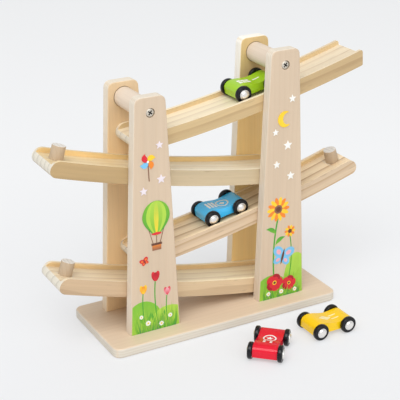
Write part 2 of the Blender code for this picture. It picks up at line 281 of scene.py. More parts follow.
# how dark a ring is over its width, from its pale early wood to its dark late wood
ring_profile = ((0.0, 0.0), (0.35, 0.0), (0.72, 0.3), (0.89, 1.0), (0.95, 1.0), (1.0, 0.0))
# what a dark place keeps of its wood's colour
ring_share, pore_share, fleck_share, hole_shade_share = 0.80, 0.55, 0.55, 0.40
fibre_relief, paint_relief, ink_relief = 0.00005, 0.00001, 0.00004       # metres
print("rings of", len(ring_profile), "stops")


# %% Wood recipe
def wood(name, early, late, pale, pale_late, end, ring_gap=0.005, wander=0.012, tone=0.035,
         streak=0.035, fibre=0.035, flecks=0.0, rough=0.50, ply=0.0, tint=None):
    """early and late are the colours inside a ring, and so are those of the pale places, which are
    partly the wood's own colour and partly painted light. tint is (start, stop, colour): a colour that
    multiplies the wood, coming in between two places lengthwise."""
    look, shader = new_look(name)
    place = stored(look, "grain", "Vector")
    crossed, pale_and_lit, hole_shade_mask = [stored(look, part) for part in ("end_grain", "pale_and_lit", "bored")]

    # rings that wander slowly along the board, and a plywood's layers
    drift = stretched_noise(look, place, drift_rate, 3.0, "Color")
    centred = put(look, "VectorMath", {0: drift, 1: (0.5,) * 3}, operation="SUBTRACT").outputs[0]
    moved = put(look, "VectorMath", {0: centred, 1: (wander,) * 3, 2: place},
                operation="MULTIPLY_ADD").outputs[0]
    rings = bands(look, moved, ring_gap, "RINGS", "SAW", {"rings_direction": "X"})
    aged = ramp_of(look, rings, [(at, (dark,) * 3) for at, dark in ring_profile])
    layers = bands(look, place, ply, "BANDS", "SIN", {"bands_direction": "Y"}) if ply else aged
    paler = mixed(look, layers, pale, pale_late)
    colour = mixed(look, pale_and_lit, mixed(look, aged, early, late), paler)

    # slow changes of tone, soft streaks and fine fibres
    slow, streaks = [stretched_noise(look, place, rate) for rate in (slow_rate, streak_rate)]
    fibres = stretched_noise(look, place, fibre_rate, 3.0)
    for value, depth in ((slow, tone), (streaks, streak), (fibres, fibre)):
        colour = shaded(look, colour, value, 1.0 - depth, 1.0 + depth / 2)

    # a tint lengthwise, which leaves the plies of a cut edge alone
    if tint:
        start, stop, tint_colour = tint
        lengthwise = put(look, "SeparateXYZ", {"Vector": place}).outputs["X"]
        share = spread(look, lengthwise, 0.0, 1.0, start, stop)
        if ply:
            share = reckoned(look, "SUBTRACT", share, pale_and_lit, use_clamp=True)
        colour = mixed(look, share, colour, tint_colour, "MULTIPLY")

    # short dark flecks along the fibres
    flecked = spread(look, stretched_noise(look, place, fleck_rate, 1.0), 0.0, flecks, 0.68, 0.78)
    colour = mixed(look, flecked, colour, darker(late, fleck_share))

    # across the fibres the rings show dark and the pores are open
    open_pores = spread(look, stretched_noise(look, place, pore_rate), 0.0, 0.2, 0.45, 0.7)
    cut = mixed(look, aged, end, darker(end, ring_share))
    cut = mixed(look, open_pores, cut, darker(end, pore_share))
    colour = mixed(look, crossed, colour, cut)
    # the walls of bored holes and the seats round the dowels' ends are painted darker: painted shade in
    # those recesses
    colour = mixed(look, hole_shade_mask, colour, darker(late, hole_shade_share))

    relief = reckoned(look, "ADD", fibres, spread(look, rings, 0.0, 0.4, 0.0, 1.0))
    fill(look, shader, {"Base Color": colour, "Normal": bumped(look, relief, 0.4, fibre_relief),
                        "Specular IOR Level": 0.4,
                        "Roughness": spread(look, fibres, rough - 0.05, rough + 0.08)})
    return look


print("wood recipe ready")

# %% Beech
veneer = {"end": (0.80, 0.70, 0.55), "ply": 0.0026}
front_beech = wood("front_beech", (0.655, 0.512, 0.370), (0.640, 0.495, 0.353), (0.85, 0.77, 0.655),
                   (0.735, 0.635, 0.50), tone=0.04, streak=0.02, fibre=0.025, **veneer)
base_beech = wood("base_beech", (0.770, 0.612, 0.448), (0.750, 0.588, 0.424), (0.71, 0.65, 0.555),
                  (0.65, 0.58, 0.48), tone=0.04, streak=0.02, fibre=0.025, **veneer)
# The rear boards' warm, deep colour is painted bounce light: it stands in for the warm light that the
# ramps throw into the shade on their inner faces. Each tint takes it back towards the board's head,
# which stands in open light, and the right board's plies are painted paler against the shade they stand
# in.
rear_bounce_beech = {
    "left": wood("left_rear_beech", (0.94, 0.680, 0.385), (0.92, 0.655, 0.365), (0.87, 0.785, 0.655),
                 (0.76, 0.645, 0.495), tone=0.06, streak=0.03,
                 tint=(0.16, 0.20, (0.81, 0.83, 0.89)), **veneer),
    "right": wood("right_rear_beech", (1.00, 0.730, 0.325), (1.00, 0.715, 0.310), (0.98, 0.95, 0.88),
                  (0.95, 0.88, 0.76), tone=0.06, streak=0.03,
                  tint=(0.20, 0.245, (0.68, 0.68, 0.72)), **veneer),
}
print(len(rear_bounce_beech) + 2, "beeches")

# %% Pine
blank_step = 0.41         # from the grain of one ramp's blank to the next one's, lengthwise
sawn_pine = {"end": (0.80, 0.74, 0.62), "fibre": 0.04, "rough": 0.48}
pine = {
    "top": wood("top_pine", (0.622, 0.455, 0.238), (0.510, 0.355, 0.180), (0.93, 0.80, 0.575),
                (0.80, 0.65, 0.455), ring_gap=0.0095, wander=0.010, tone=0.08, streak=0.05,
                flecks=0.30, tint=(blank_step + 0.15, blank_step + 0.20, (0.91, 0.89, 0.89)),
                **sawn_pine),
    "second": wood("second_pine", (0.600, 0.475, 0.300), (0.500, 0.365, 0.210), (1.00, 0.92, 0.72),
                   (0.92, 0.80, 0.58), ring_gap=0.0090, wander=0.010, tone=0.09, streak=0.06,
                   flecks=0.35, tint=(2 * blank_step + 0.11, 2 * blank_step + 0.07, (0.82, 0.71, 0.54)),
                   **sawn_pine),
    "third": wood("third_pine", (0.690, 0.525, 0.355), (0.550, 0.380, 0.225), (1.00, 0.80, 0.54),
                  (0.62, 0.42, 0.235), ring_gap=0.0085, wander=0.011, tone=0.09, streak=0.07,
                  flecks=0.30, **sawn_pine),
    "bottom": wood("bottom_pine", (0.690, 0.520, 0.325), (0.585, 0.430, 0.265), (1.00, 0.88, 0.62),
                   (0.84, 0.70, 0.47), ring_gap=0.0100, wander=0.013, tone=0.08, streak=0.06,
                   flecks=0.35, tint=(4 * blank_step + 0.11, 4 * blank_step + 0.07, (0.88, 0.83, 0.82)),
                   **sawn_pine),
}
# The walls inside each channel take a warmer, more golden copy of the pine than its floor: painted
# bounce light and shade inside the channel.
wall_bounce_colours = {"top": ((0.73, 0.550, 0.305), (0.65, 0.47, 0.245)),
                "second": ((0.96, 0.72, 0.35), (0.88, 0.62, 0.28)),
                "third": ((0.88, 0.67, 0.37), (0.79, 0.57, 0.29)),
                "bottom": ((0.88, 0.65, 0.35), (0.80, 0.57, 0.29))}
wall_bounce_pine = {name: wood(f"{name}_wall_bounce_pine", early, late, early, late, ring_gap=0.0090, wander=0.010,
                        tone=0.08, streak=0.05, **sawn_pine)
             for name, (early, late) in wall_bounce_colours.items()}
print(len(pine) + len(wall_bounce_pine), "pines")

# %% Turned rods
dowel_colour, peg_colour = (0.77, 0.64, 0.510), (0.56, 0.430, 0.295)
dowel_wood = wood("dowel_wood", dowel_colour, (0.74, 0.61, 0.48), dowel_colour, dowel_colour,
                  (0.62, 0.50, 0.38), wander=0.006, tone=0.04, streak=0.02)
peg_wood = wood("peg_wood", peg_colour, (0.53, 0.40, 0.270), peg_colour, peg_colour,
                (0.79, 0.75, 0.69), ring_gap=0.0036, wander=0.004, tone=0.05, streak=0.03, fibre=0.03,
                rough=0.58)
print("woods for dowels and pegs")

# %% [markdown]
# ## Paint, plastic and metal
# The cars are sprayed with gloss paint, which is never quite flat: a slow ripple bends its
# reflections. The wheels are moulded black plastic, their caps bright plated steel, and the
# screws dull zinc. Each has a fine bump and a roughness that varies, and constant values sit on
# the shader's own sockets.


# %% Paint, plastic and metal
def gloss(name, colour, rough, metal=0.0, coat=0.0, shine=0.5, ripple=600.0):
    """A smooth finish. ripple is how often it wavers in a metre."""
    look, shader = new_look(name)
    place = put(look, "TexCoord").outputs["Object"]
    slow = stretched_noise(look, place, (ripple,) * 3)
    fine = stretched_noise(look, place, (ripple * 9,) * 3, 1.0)
    shade = mixed(look, spread(look, slow, 0.0, 1.0), darker(colour, 0.93), colour)
    fill(look, shader, {"Base Color": shade, "Metallic": metal,
                        "Normal": bumped(look, slow, 0.35, paint_relief),
                        "Roughness": spread(look, fine, rough - 0.03, rough + 0.06),
                        "Specular IOR Level": shine, "Coat Weight": coat, "Coat Roughness": 0.06})
    return look


paints = {
    "green": gloss("lime_paint", (0.36, 0.63, 0.018), 0.16, coat=0.1, shine=0.4),
    # the blue is brighter than the car's own paint: painted light against the shade that the ramp above
    # casts on the car
    "blue": gloss("sky_blue_paint", (0.06, 0.56, 1.00), 0.18, coat=0.15, shine=0.5),
    "yellow": gloss("yellow_paint", (0.98, 0.62, 0.005), 0.16, coat=0.1, shine=0.35),
    "red": gloss("red_paint", (0.75, 0.004, 0.026), 0.14, coat=0.1, shine=0.35),
}
tyre_plastic = gloss("black_plastic", (0.005, 0.005, 0.007), 0.15, coat=0.12, shine=0.28,
                     ripple=900.0)
bright_cap = gloss("bright_cap", (0.92, 0.90, 0.87), 0.26, metal=1.0, ripple=1200.0)
zinc = gloss("zinc_plate", (0.74, 0.68, 0.58), 0.36, metal=1.0, ripple=2000.0)
print(len(paints) + 3, "smooth finishes")

# %% [markdown]
# ## Shaping helpers
# Every piece starts from a bmesh primitive and is shaped by operators. The helpers below are the
# ones a joiner would ask for: a block between two corners, a rounded edge, a bored hole, and a
# stamp that stores the grain before the blank is bent or put in place.

# %% Places and blanks
near = 1e-5                    # places nearer than this count as one


def middle(node):
    low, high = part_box(node)
    return (low + high) / 2


def ends(node):
    """The two ends of a node's middle line along Y."""
    low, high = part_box(node)
    centre = middle(node)
    return Vector((centre.x, low.y, centre.z)), Vector((centre.x, high.y, centre.z))


def block(low, high):
    """A cuboid between two corners."""
    bm = bmesh.new()
    bmesh.ops.create_cube(bm, size=1.0)
    bmesh.ops.scale(bm, vec=Vector(high) - Vector(low), verts=bm.verts)
    bmesh.ops.translate(bm, vec=(Vector(low) + Vector(high)) / 2, verts=bm.verts)
    return bm


def cylinder(radius, low, high, steps=48):
    """A closed cylinder along its own Z."""
    bm = bmesh.new()
    bmesh.ops.create_cone(bm, cap_ends=True, segments=steps, radius1=radius, radius2=radius,
                          depth=high - low)
    bmesh.ops.translate(bm, vec=(0, 0, (low + high) / 2), verts=bm.verts)
    return bm


def move(bm, matrix):
    bmesh.ops.transform(bm, matrix=matrix, verts=bm.verts)


print("places and blanks ready")


# %% Cutting, rounding and boring
def cut_across(bm, point, way, snap, **options):
    """Cuts the shape at a plane. Points nearer to it than snap count as lying on it."""
    bmesh.ops.bisect_plane(bm, geom=bm.verts[:] + bm.edges[:] + bm.faces[:], dist=snap,
                           plane_co=point, plane_no=way, **options)


def round_edges(bm, chosen, width, steps=3):
    """Rounds the edges that chosen picks."""
    bmesh.ops.bevel(bm, geom=[e for e in bm.edges if chosen(e)], offset=width, offset_type="OFFSET",
                    segments=steps, profile=0.5, affect="EDGES", material=-1, clamp_overlap=True)


def span(edge, axis):
    """How far an edge reaches along X, Y or Z, which are 0, 1 and 2."""
    return abs(edge.verts[0].co[axis] - edge.verts[1].co[axis])


def sharp(edge, limit=math.radians(50)):
    return len(edge.link_faces) == 2 and edge.calc_face_angle(0.0) > limit


def as_mesh(bm, name):
    mesh = bpy.data.meshes.new(name)
    bm.to_mesh(mesh)
    bm.free()
    return mesh


def bored(bm, cutters):
    """The shape with each cutter taken away from it by an exact Boolean."""
    body = bpy.data.objects.new("blank", as_mesh(bm, "blank"))
    scene.collection.objects.link(body)
    tools = []
    for cutter in cutters:
        tool = bpy.data.objects.new("cutter", as_mesh(cutter, "cutter"))
        scene.collection.objects.link(tool)
        tools.append(tool)
        cut = body.modifiers.new("cut", "BOOLEAN")
        cut.operation, cut.solver, cut.object = "DIFFERENCE", "EXACT", tool
    bpy.context.view_layer.update()
    graph = bpy.context.evaluated_depsgraph_get()
    result = bpy.data.meshes.new_from_object(body.evaluated_get(graph))
    shaped = bmesh.new()
    shaped.from_mesh(result)
    for thing in (body, *tools):
        bpy.data.objects.remove(thing)
    return shaped


print("cutting, rounding and boring ready")

# %% Grain and finished pieces
crisp = math.radians(35)       # edges sharper than this stay crisp in the shading
faces_little, faces_fully, square_on = 0.55, 0.85, 0.99      # shares of a normal along a way


def facing(v, ways):
    """How far a point faces one of the ways, from 0 to 1."""
    most = max(v.normal.dot(Vector(way)) for way in ways)
    return min(1.0, max(0.0, (most - faces_little) / (faces_fully - faces_little)))


def stamp_grain(bm, along, start, across=None, pale_and_lit=(), sawn=True):
    """Stores grain coordinates, X along the fibres, Y across the rings or plies and away from the
    pith, and where the end grain and the paler places are. The paler places are partly the wood's own
    colour and partly painted light where they face bright light. Plywood isn't sawn: it has no end
    grain, and its veneer isn't paler anywhere."""
    bm.normal_update()
    grain = bm.verts.layers.float_vector.new("grain")
    end, pale = bm.verts.layers.float.new("end_grain"), bm.verts.layers.float.new("pale_and_lit")
    fibres = Vector(along)
    across = Vector(across) if across else fibres.orthogonal().normalized()
    third = fibres.cross(across)
    for v in bm.verts:
        v[grain] = Vector((v.co.dot(fibres), v.co.dot(across), v.co.dot(third))) + Vector(start)
        v[end] = facing(v, (fibres, -fibres)) if sawn else 0.0
        on_veneer = not sawn and any(abs(f.normal.dot(across)) > square_on for f in v.link_faces)
        v[pale] = facing(v, pale_and_lit) if pale_and_lit and not on_veneer else 0.0


def show(name, bm, look, body, stands_for=()):
    """Makes the finished piece, which rides on a body and replaces its CAD nodes."""
    mesh = as_mesh(bm, name)
    mesh.materials.append(look)
    mesh.shade_smooth()
    mesh.set_sharp_from_angle(angle=crisp)
    piece = bpy.data.objects.new(name, mesh)
    scene.collection.objects.link(piece)
    piece.modifiers.new("shading", "WEIGHTED_NORMAL").keep_sharp = True
    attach(piece, body)
    if stands_for:
        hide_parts(*stands_for)
    return piece


print("edges over", round(math.degrees(crisp)), "degrees stay crisp")

# %% [markdown]
# ## Base board
# A beech board with rounded corners in plan and a roundover along every edge. A block is bevelled
# twice: first its four upright edges, then the rims, which is the order a router works in too.

# %% Base board
plan_corner, base_roundover = 0.0085, 0.0018
base_low, base_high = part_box("base_board")
base_top = base_high.z
base = block(base_low, base_high)
round_edges(base, lambda e: span(e, 2) > near, plan_corner, 10)
round_edges(base, sharp, base_roundover, 5)
# the rims take the pale plies, partly their own colour and partly painted light from the bright
# surroundings
stamp_grain(base, (1, 0, 0), (0.3, 0.07, 0.11), across=(0, 0, 1), sawn=False,
            pale_and_lit=((0, -1, 0), (0, 1, 0), (1, 0, 0), (-1, 0, 0)))
show("base", base, base_beech, "track", ["base_board"])
print("base board", [round(x, 4) for x in base_high - base_low])

# %% [markdown]
# ## Uprights
# Four boards that taper from foot to head, with round top corners. Each starts as a block as wide
# as its foot; its head is drawn in, the top corners are rounded, and the arris runs round the
# outline but not along the foot, which stands flat on the base. The screw's counterbore and the
# pin holes are bored afterwards, where the CAD screws and pins are.

# %% Sizes of the uprights
head_width, head_corner, upright_arris = 0.0306, 0.0062, 0.0011
counterbore, counterbore_depth = 0.0044, 0.0019        # radius and depth
shank_hole, shank_depth, pin_hole = 0.0017, 0.02, 0.0031
socket_gap, socket_depth = 0.0004, 0.0005      # a shallow seat round each end of a spacer dowel
clear = 0.002                                  # how far a drill starts before the wood


def drill(radius, start, stop, steps=40):
    """A cutter between two points."""
    way = stop - start
    bm = cylinder(radius, 0.0, way.length, steps)
    move(bm, Matrix.Translation(start) @ way.to_track_quat("Z", "Y").to_matrix().to_4x4())
    return bm


print("heads", head_width, "m wide")


# %% Uprights
def upright(side, row):
    node = f"{side}_{row}_upright"
    low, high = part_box(node)
    centre, thick = (low.x + high.x) / 2, high.y - low.y
    bm = block(low, high)
    heads = [v for v in bm.verts if v.co.z > (low.z + high.z) / 2]
    bmesh.ops.scale(bm, vec=(head_width / (high.x - low.x), 1, 1), verts=heads,
                    space=Matrix.Translation((-centre, 0, 0)))
    round_edges(bm, lambda e: sharp(e) and span(e, 1) > near
                and all(v.co.z > high.z - near for v in e.verts), head_corner, 9)
    round_edges(bm, lambda e: sharp(e) and span(e, 1) < near
                and max(v.co.z for v in e.verts) > low.z + near, upright_arris, 4)
    out, outer = (-1, low.y) if row == "front" else (1, high.y)
    screw = middle(f"{side}_{row}_screw")

    def under(depth):
        """A point on the screw's line, so far under the board's outer face."""
        return Vector((screw.x, outer - out * depth, screw.z))

    spacer_low, spacer_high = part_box(f"{side}_spacer_dowel")
    socket = (spacer_high.x - spacer_low.x) / 2 + socket_gap
    bed = under(thick - socket_depth)
    cutters = [drill(counterbore, under(-clear), under(counterbore_depth)),
               drill(shank_hole, under(-clear), under(shank_depth), 16),
               drill(socket, under(thick + socket_depth), bed, 64)]
    for name in ("top", "second", "third", "bottom"):
        cutters.append(drill(pin_hole, *ends(f"{name}_ramp_{side}_pin"), 16))
    bm = bored(bm, cutters)
    # the side edges and the head take the pale plies, partly their own colour and partly painted light
    # from the bright surroundings
    stamp_grain(bm, (0, 0, 1), (0.2 * screw.x, 0.09 + low.y, 0.13 + 3 * centre), across=(0, 1, 0),
                sawn=False, pale_and_lit=((-1, 0, 0), (1, 0, 0), (0, 0, 1)))
    # the counterbore's wall and the seat round a spacer's end are marked for painted shade, the dark of
    # those recesses
    painted_hole_shade = bm.verts.layers.float.new("bored")
    for v in bm.verts:
        away = (v.co.xz - screw.xz).length
        counterbored = away < counterbore * 1.02 and abs(v.co.y - outer) > 0.0004
        seated = away < socket * 1.01 and abs(v.co.y - bed.y) < 0.0001
        v[painted_hole_shade] = float(counterbored or seated)
    # the rear boards' faces other than their backs take the warm wood, painted bounce light; their back
    # faces take the front boards' wood
    look = front_beech if row == "front" else rear_bounce_beech[side]
    board = show(f"{side}_{row}_board", bm, look, "track", [node])
    if row == "rear":
        board.data.materials.append(front_beech)
        for face in board.data.polygons:
            face.material_index = int(face.normal.y > 0.8)


for side in ("left", "right"):
    for row in ("front", "rear"):
        upright(side, row)
print("four uprights")

# %% [markdown]
# ## Prints on the front uprights
# A print on wood is a film of ink. It could be a picture wrapped on the board, but flat shapes keep
# their edges crisp at any distance, as a screen print's are. So each motif is a stack of dabs: a
# round dab is a disc with its rim drawn to an outline, a stroke is a strip laid along a path, and
# each lies four microns over the dab before, so that no two share a surface. The sheet is drawn
# flat in millimetres, clipped to the board's sloping sides, and then set upright on its face.

# %% Ink
mm = 0.001
ink_start, ink_step, ink_root = 0.02, 0.004, 0.02      # millimetres over and under the wood


class Ink:
    """Dabs of ink on a flat sheet, in millimetres, with U to the right and V up."""

    def __init__(self):
        self.bm = bmesh.new()
        self.tint = self.bm.verts.layers.float_color.new("ink")
        self.top = ink_start

    def lay(self, verts, colour, tip):
        """Gives a dab its height, and its colour, which may run to that of its tip."""
        low, high = min(v.co.y for v in verts), max(v.co.y for v in verts)
        for v in verts:
            v.co.z = self.top if v.co.z > 0 else -ink_root
            share = (v.co.y - low) / (high - low)
            v[self.tint] = (*Vector(colour).lerp(Vector(tip or colour), share), 1.0)
        self.top += ink_step

    def dab(self, u, v, width, height, colour, turn=0.0, outline=None, sides=32, tip=None):
        """A disc, or another outline round its middle, scaled and turned into place."""
        verts = bmesh.ops.create_cone(self.bm, cap_ends=True, cap_tris=False, segments=sides,
                                      radius1=1.0, radius2=1.0, depth=1.0)["verts"]
        for vert in verts:
            if outline and vert.co.xy.length > 0.5:
                vert.co.xy = outline(math.atan2(vert.co.y, vert.co.x))
        place = (Matrix.Translation((u, v, 0)) @ turned(turn, "Z")
                 @ Matrix.Diagonal((width / 2, height / 2, 1, 1)))
        bmesh.ops.transform(self.bm, matrix=place, verts=verts)
        self.lay(verts, colour, tip)

    def stroke(self, path, width, colour, steps=12, tip=None):
        """A strip along a path. Path and width are functions of a share from 0 to 1."""
        flat = bmesh.ops.create_grid(self.bm, x_segments=steps, y_segments=1, size=0.5)["verts"]
        faces = list({face for vert in flat for face in vert.link_faces})
        made = bmesh.ops.extrude_face_region(self.bm, geom=faces)["geom"]
        raised = [g for g in made if isinstance(g, bmesh.types.BMVert)]
        bmesh.ops.translate(self.bm, vec=(0, 0, 1), verts=raised)
        verts = flat + raised
        for vert in verts:
            share, side = vert.co.x + 0.5, vert.co.y
            ahead = (Vector(path(share + 0.01)) - Vector(path(share - 0.01))).normalized()
            vert.co.xy = Vector(path(share)) + Vector((-ahead.y, ahead.x)) * side * width(share)
        self.lay(verts, colour, tip)

    def clip(self, point, outward):
        """Cuts away what lies beyond a line, and closes the cut."""
        cut_across(self.bm, (*point, 0), (*outward, 0), snap=1e-4, clear_outer=True)
        bmesh.ops.holes_fill(self.bm, edges=[e for e in self.bm.edges if e.is_boundary])

    def finish(self):
        """The ink in metres, with every face turned outwards."""
        bmesh.ops.recalc_face_normals(self.bm, faces=self.bm.faces)
        move(self.bm, Matrix.Diagonal((mm, mm, mm, 1)))
        return self.bm


def ink_finish():
    """Ink reads its own colour attribute. The wood's fibres show through as a fine ripple."""
    look, shader = new_look("printed_ink")
    tint = stored(look, "ink", "Color")
    place = put(look, "TexCoord").outputs["Object"]
    fibres = stretched_noise(look, place, (1500.0, 1500.0, 40.0))
    cloud = stretched_noise(look, place, (170.0, 170.0, 90.0))
    colour = shaded(look, shaded(look, tint, cloud, 0.95, 1.03), fibres, 0.96, 1.02)
    fill(look, shader, {"Base Color": colour, "Normal": bumped(look, fibres, 0.3, ink_relief),
                        "Specular IOR Level": 0.4, "Roughness": spread(look, fibres, 0.42, 0.52)})
    return look


ink_look = ink_finish()
print("ink laid in steps of", ink_step, "mm")

# %% Ink colours, paths and outlines
grass, leaf = (0.20, 0.50, 0.035), (0.07, 0.36, 0.035)
lime, moss = (0.43, 0.66, 0.07), (0.06, 0.26, 0.07)
scarlet, crimson = (0.70, 0.022, 0.035), (0.42, 0.010, 0.022)
orange, amber = (0.88, 0.25, 0.025), (0.94, 0.62, 0.03)
azure, rose = (0.20, 0.54, 0.82), (0.86, 0.42, 0.48)
bark, cocoa = (0.26, 0.12, 0.07), (0.13, 0.05, 0.03)
lilac, milk, straw = (0.80, 0.72, 0.76), (0.90, 0.89, 0.84), (0.97, 0.84, 0.45)


def line(start, stop, bow=0.0):
    """A path between two points that bows to its left."""
    a, b = Vector(start), Vector(stop)
    side = Vector((a.y - b.y, b.x - a.x)) * bow
    return lambda share: a.lerp(b, share) + side * 4 * share * (1 - share)


def even(width):
    return lambda share: width


def tapered(width):
    return lambda share: width * (1.02 - share)


def leaf_shaped(width):
    return lambda share: width * math.sin(math.pi * min(max(share, 0.02), 0.98))


def pointed(depth):
    """An outline that is drawn in towards its foot, like a balloon's."""
    def outline(angle):
        x, y = math.cos(angle), math.sin(angle)
        below = max(0.0, -y)
        return x * (1 - depth * below * below), y * (1 + 0.2 * below)
    return outline


def star_shaped(angle):
    reach = 1.0 if round((math.degrees(angle) - 90) / 36) % 2 == 0 else 0.46
    return reach * math.cos(angle), reach * math.sin(angle)


print("paths and outlines ready")


# %% Flowers and stars
def star(ink, u, v, size, colour):
    ink.dab(u, v, size, size, colour, outline=star_shaped, sides=10)


def bloom(ink, u, v, size, petals, colour, tip, heart, plump=0.40):
    """Petals round a heart."""
    for i in range(petals):
        angle = 2 * math.pi * i / petals
        reach = size * 0.31
        ink.dab(u + reach * math.cos(angle), v + reach * math.sin(angle), size * 0.40,
                size * plump, colour if i % 2 else tip, turn=math.degrees(angle))
    ink.dab(u, v, size * 0.36, size * 0.36, heart)


def tulip(ink, foot, head, size, colour, tip):
    ink.stroke(line(foot, head, 0.04), even(size * 0.13), leaf)
    for side in (-1, 1):
        ink.stroke(line(foot, (foot[0] + side * size * 0.75, foot[1] + size * 1.5), side * -0.12),
                   leaf_shaped(size * 0.34), grass, tip=leaf)
    u, v = head
    for side in (-1, 1):
        ink.dab(u + side * size * 0.20, v + size * 0.10, size * 0.52, size * 1.05, colour,
                turn=-side * 12, outline=pointed(0.2), tip=tip)
    ink.dab(u, v + size * 0.04, size * 0.56, size * 0.92, tip, outline=pointed(0.1), tip=colour)


print("flowers ready")


# %% Things in the air, and grass
def butterfly(ink, u, v, size, turn, colour, spot):
    for side in (-1, 1):
        for reach, angle, scale in ((0.30, 38, 0.58), (0.24, -40, 0.44)):
            way = math.radians(turn + (angle if side > 0 else 180 - angle))
            x, y = u + size * reach * math.cos(way), v + size * reach * math.sin(way)
            ink.dab(x, y, size * scale, size * scale * 0.72, colour, turn=math.degrees(way))
            ink.dab(x, y, size * scale * 0.45, size * scale * 0.32, spot, turn=math.degrees(way))
    up = math.radians(turn + 90)
    ahead = Vector((math.cos(up), math.sin(up))) * size * 0.34
    ink.stroke(line(Vector((u, v)) - ahead, Vector((u, v)) + ahead), leaf_shaped(size * 0.11), cocoa)


def balloon(ink, u, v, size):
    basket = v - size * 0.98
    for side in (-1, 0, 1):
        ink.stroke(line((u + side * size * 0.12, basket), (u + side * size * 0.30, v - size * 0.35)),
                   even(0.35), bark)
    for share, colour, tip in ((1.0, leaf, grass), (0.74, lime, lime), (0.46, grass, lime),
                               (0.17, amber, lime)):
        ink.dab(u, v, size * share, size * 1.12, colour, outline=pointed(0.45), tip=tip)
    ink.dab(u, v - size * 0.60, size * 0.36, size * 0.10, scarlet)
    ink.stroke(line((u, basket - size * 0.22), (u, basket + size * 0.02)), even(size * 0.32), bark,
               steps=4, tip=orange)
    ink.stroke(line((u - size * 0.19, basket), (u + size * 0.19, basket)), even(size * 0.07), cocoa,
               steps=4)


def pinwheel(ink, u, v, size, length):
    ink.stroke(line((u + 1.0, v - length), (u, v)), even(0.7), bark)
    for i, colour in enumerate((amber, scarlet, azure, orange)):
        way = math.radians(90 * i + 20)
        tip = Vector((u, v)) + Vector((math.cos(way), math.sin(way))) * size * 0.5
        ink.stroke(line((u, v), tip, 0.24), leaf_shaped(size * 0.34), colour)
    ink.dab(u, v, size * 0.14, size * 0.14, milk)


def moon(ink, u, v, size):
    def arc(share):
        angle = math.radians(70 + 230 * share)
        return u + size * 0.40 * math.cos(angle), v + size * 0.40 * math.sin(angle)
    ink.stroke(arc, leaf_shaped(size * 0.32), amber, steps=28)


def blades(ink, rng, half, tallest, count):
    """Grass along the foot of a board."""
    for i in range(count):
        u = -half + 2 * half * (i + rng.random()) / count
        tall = tallest * rng.uniform(0.45, 1.0)
        ink.stroke(line((u, -1), (u + rng.uniform(-4, 4), tall), rng.uniform(-0.1, 0.1)),
                   tapered(rng.uniform(1.2, 2.2)), rng.choice((leaf, moss, grass)),
                   tip=rng.choice((grass, lime)), steps=6)


print("motifs ready")


# %% Left print
def left_print(ink):
    """Tulips on a meadow, a striped balloon, a pinwheel and stars."""
    rng = random.Random(5)
    ink.dab(-13, 4, 44, 58, lime, tip=grass)
    ink.dab(14, -2, 48, 50, grass, tip=lime)
    tulip(ink, (-11, 8), (-12, 45), 8, orange, amber)
    tulip(ink, (3, 6), (1, 56), 9, crimson, scarlet)
    tulip(ink, (13, 5), (13, 38), 7.5, rose, scarlet)
    blades(ink, rng, 20, 27, 30)
    blades(ink, rng, 20, 17, 34)
    for u, v, size in ((-8, 9, 5.5), (6, 5.5, 5), (15.5, 12, 4.5), (-15, 17, 4)):
        bloom(ink, u, v, size, 8, milk, milk, amber, plump=0.30)
    butterfly(ink, -10, 74, 9, 24, scarlet, orange)
    balloon(ink, 3, 117, 28)
    star(ink, -9, 144, 8.5, lilac)
    star(ink, 9, 153, 9.5, lilac)
    pinwheel(ink, -4, 172, 16, 19)
    star(ink, 8, 186, 8.0, lilac)


print("left print drawn")


# %% Right print
def right_print(ink):
    """Poppies and a sunflower, a big butterfly, a moon and stars."""
    rng = random.Random(11)
    ink.dab(17, 10, 30, 70, grass, tip=lime)
    ink.dab(-12, 0, 46, 52, lime, tip=grass)
    ink.stroke(line((-6, 4), (-5, 88), 0.05), even(1.7), leaf, steps=18)
    for height, side in ((58, 1), (70, -1)):
        ink.stroke(line((-7.5, height), (-7.5 + side * 11, height + 7), side * 0.16),
                   leaf_shaped(4.6), grass, tip=leaf)
    bloom(ink, -5, 96, 25, 14, amber, orange, bark, plump=0.17)
    ink.dab(-5, 96, 5.5, 5.5, cocoa)
    ink.stroke(line((9, 20), (9, 66), -0.05), even(1.1), leaf)
    bloom(ink, 9, 70, 12.5, 10, orange, amber, cocoa, plump=0.22)
    butterfly(ink, 1, 44, 25, -14, azure, rose)
    blades(ink, rng, 21, 26, 32)
    for u, v, size in ((-8, 17, 19), (9, 13, 16)):
        bloom(ink, u, v, size, 5, crimson, scarlet, cocoa, plump=0.52)
        bloom(ink, u, v, size * 0.68, 5, scarlet, scarlet, amber, plump=0.50)
        ink.dab(u, v, size * 0.15, size * 0.15, cocoa)
    blades(ink, rng, 21, 11, 30)
    for u, v, size in ((0, 5.5, 5), (-15, 6, 4.5), (16, 4.5, 4.5)):
        bloom(ink, u, v, size, 8, milk, milk, amber, plump=0.30)
    for u, v, size in ((8, 129, 9), (-8, 143, 8), (4, 161, 10), (-10, 176, 7), (8, 207, 8)):
        star(ink, u, v, size, milk)
    moon(ink, 2, 188, 17)


print("right print drawn")


# %% Prints on the boards
def printed(side, draw):
    """Draws a print, clips it to its board's face and sets it on the board."""
    low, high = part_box(f"{side}_front_upright")
    ink = Ink()
    draw(ink)
    foot, head = (high.x - low.x) / 2 - upright_arris, head_width / 2 - upright_arris
    tall = high.z - low.z
    for way in (-1, 1):
        outward = Vector((tall, foot - head)).normalized()
        ink.clip((way * foot / mm, 0), (way * outward.x, outward.y))
    ink.clip((0, 0), (0, -1))
    place = Matrix.Translation(((low.x + high.x) / 2, low.y, low.z)) @ turned(90, "X")
    bm = ink.finish()
    move(bm, place)
    print(side, "print", len(bm.faces), "faces")
    show(f"{side}_front_print", bm, ink_look, "track")


printed("left", left_print)
printed("right", right_print)

